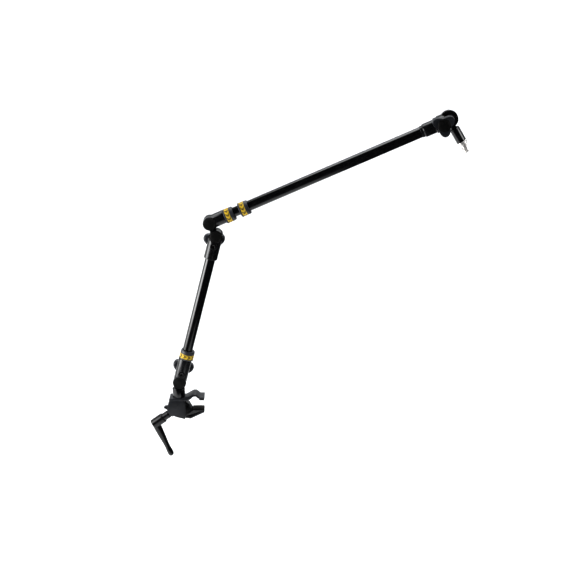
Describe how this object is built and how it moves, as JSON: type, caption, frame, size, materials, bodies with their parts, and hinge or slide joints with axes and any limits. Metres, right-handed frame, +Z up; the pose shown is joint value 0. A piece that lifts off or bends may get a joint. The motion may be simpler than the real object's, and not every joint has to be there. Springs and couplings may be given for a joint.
{
  "type": "boom microphone stand",
  "caption": "Desk-clamp boom arm for a microphone: hook clamp with a lever, post, lower arm, double elbow, telescopic boom, tilting tip with a threaded adapter.",
  "frame": {"origin": "centre of the rubber pad's underside, where the hook jaw rests on the table top, midway along the clamp's depth", "axes": "+Z up from the table top, +X towards the boom's tip over the table, +Y to the side where the base and elbow knobs are"},
  "size_m": [0.72, 0.0708, 0.8187],
  "materials": {
    "cast_slate": "satin powder-coated casting",
    "knob_slate": "fine matt moulded plastic",
    "cast_black": "satin black painted casting",
    "gloss_black": "gloss black lacquered tube",
    "lever_black": "gloss black moulded lever",
    "cap_black": "matt black moulded cap",
    "collar_grey": "satin dark grey moulding",
    "band_yellow": "printed yellow band",
    "fastener_steel": "bright zinc-plated steel",
    "nickel": "bright nickel plate",
    "rubber": "black rubber",
    "nylon": "natural nylon"
  },
  "bodies": {
    "clamp": {"clamp_body": "cast_slate", "hook_pad": "rubber", "stud_set_screw": "fastener_steel"},
    "jaw": {"clamp_jaw": "cast_black", "jaw_pad": "rubber"},
    "clamp_screw": {"clamp_screw": "fastener_steel", "lever_base": "cast_black", "lever_retaining_screw": "fastener_steel", "lever_spring": "fastener_steel"},
    "lever": {"clamp_lever": "lever_black", "lever_end_cap": "cap_black"},
    "post": {"post": "gloss_black", "post_stud": "fastener_steel"},
    "lower_arm": {"base_fork": "cast_black", "base_hinge_pin": "fastener_steel", "base_cap_front": "cap_black", "base_cap_rear": "cap_black", "base_pinch_bolt": "fastener_steel", "lower_tube": "gloss_black", "elbow_fork": "cast_black", "elbow_hinge_pin": "fastener_steel", "elbow_cap_front": "cap_black", "elbow_cap_rear": "cap_black", "elbow_pinch_bolt": "fastener_steel"},
    "base_knob": {"base_knob": "knob_slate", "base_knob_cap": "cap_black"},
    "base_collar": {"base_collar": "collar_grey", "base_band": "band_yellow"},
    "elbow_knob": {"elbow_knob": "knob_slate", "elbow_knob_cap": "cap_black"},
    "elbow_link": {"elbow_link": "cast_black"},
    "inner_boom": {"boom_fork": "cast_black", "boom_hinge_pin": "fastener_steel", "boom_cap_front": "cap_black", "boom_cap_rear": "cap_black", "inner_tube": "gloss_black"},
    "boom_collar": {"boom_collar": "collar_grey", "boom_band": "band_yellow"},
    "outer_boom": {"outer_tube": "gloss_black", "boom_collet": "nylon", "tip_fork": "cast_black", "tip_hinge_pin": "fastener_steel", "tip_pinch_bolt": "fastener_steel"},
    "clutch_collar": {"clutch_collar": "collar_grey", "clutch_band": "band_yellow"},
    "tip_knob": {"tip_knob": "knob_slate", "tip_knob_cap": "cap_black"},
    "tip": {"tip_knuckle": "cast_black", "stub_tube": "gloss_black", "threaded_stud": "fastener_steel", "thread_adapter": "nickel"}
  },
  "joints": [
    {"name": "jaw_slide", "type": "slide", "parent": "clamp", "child": "jaw", "axis": [0.809, 0, 0.5878], "range_m": [-0.02, 0.0025]},
    {"name": "screw_turn", "type": "hinge", "parent": "jaw", "child": "clamp_screw", "pos_m": [-0.051, 0, -0.0201], "axis": [0.809, 0, 0.5878], "range_deg": [-2390, 295]},
    {"name": "lever_lift", "type": "slide", "parent": "clamp_screw", "child": "lever", "axis": [-0.809, 0, -0.5878], "range_m": [0, 0.003], "stiffness_N_per_m": 800, "springref_m": -0.004},
    {"name": "post_swivel", "type": "hinge", "parent": "clamp", "child": "post", "pos_m": [-0.0535, 0, 0.0159], "axis": [0, 0, 1], "range_deg": [-170, 170]},
    {"name": "base_tilt", "type": "hinge", "parent": "post", "child": "lower_arm", "pos_m": [-0.0505, 0, 0.0419], "axis": [0, 1, 0], "range_deg": [-45, 45]},
    {"name": "base_knob_turn", "type": "hinge", "parent": "lower_arm", "child": "base_knob", "pos_m": [-0.04507, 0.025, 0.06322], "axis": [0, 1, 0], "range_deg": [-180, 180]},
    {"name": "base_collar_turn", "type": "hinge", "parent": "lower_arm", "child": "base_collar", "pos_m": [-0.0337, 0, 0.10779], "axis": [0.247, 0, 0.969], "range_deg": [-90, 90]},
    {"name": "elbow_knob_turn", "type": "hinge", "parent": "lower_arm", "child": "elbow_knob", "pos_m": [0.03311, 0.025, 0.36991], "axis": [0, 1, 0], "range_deg": [-180, 180]},
    {"name": "elbow_lower_tilt", "type": "hinge", "parent": "lower_arm", "child": "elbow_link", "pos_m": [0.03854, 0, 0.39123], "axis": [0, 1, 0], "range_deg": [-50, 95]},
    {"name": "elbow_upper_tilt", "type": "hinge", "parent": "elbow_link", "child": "inner_boom", "pos_m": [0.02515, 0, 0.42161], "axis": [0, 1, 0], "range_deg": [-88, 3]},
    {"name": "boom_collar_turn", "type": "hinge", "parent": "inner_boom", "child": "boom_collar", "pos_m": [0.07089, 0, 0.44178], "axis": [0.915, 0, 0.4035], "range_deg": [-90, 90]},
    {"name": "boom_slide", "type": "slide", "parent": "inner_boom", "child": "outer_boom", "axis": [0.915, 0, 0.4035], "range_m": [-0.013, 0.28]},
    {"name": "clutch_collar_turn", "type": "hinge", "parent": "outer_boom", "child": "clutch_collar", "pos_m": [0.10658, 0, 0.45752], "axis": [0.915, 0, 0.4035], "range_deg": [-90, 90]},
    {"name": "tip_knob_turn", "type": "hinge", "parent": "outer_boom", "child": "tip_knob", "pos_m": [0.53743, -0.025, 0.64755], "axis": [0, 1, 0], "range_deg": [-180, 180]},
    {"name": "tip_tilt", "type": "hinge", "parent": "outer_boom", "child": "tip", "pos_m": [0.55161, 0, 0.65381], "axis": [0, 1, 0], "range_deg": [-145, 20]}
  ],
  "couplings": [
    {"joint": "jaw_slide", "follows": "screw_turn", "m_per_rad": 0.00047746}
  ]
}
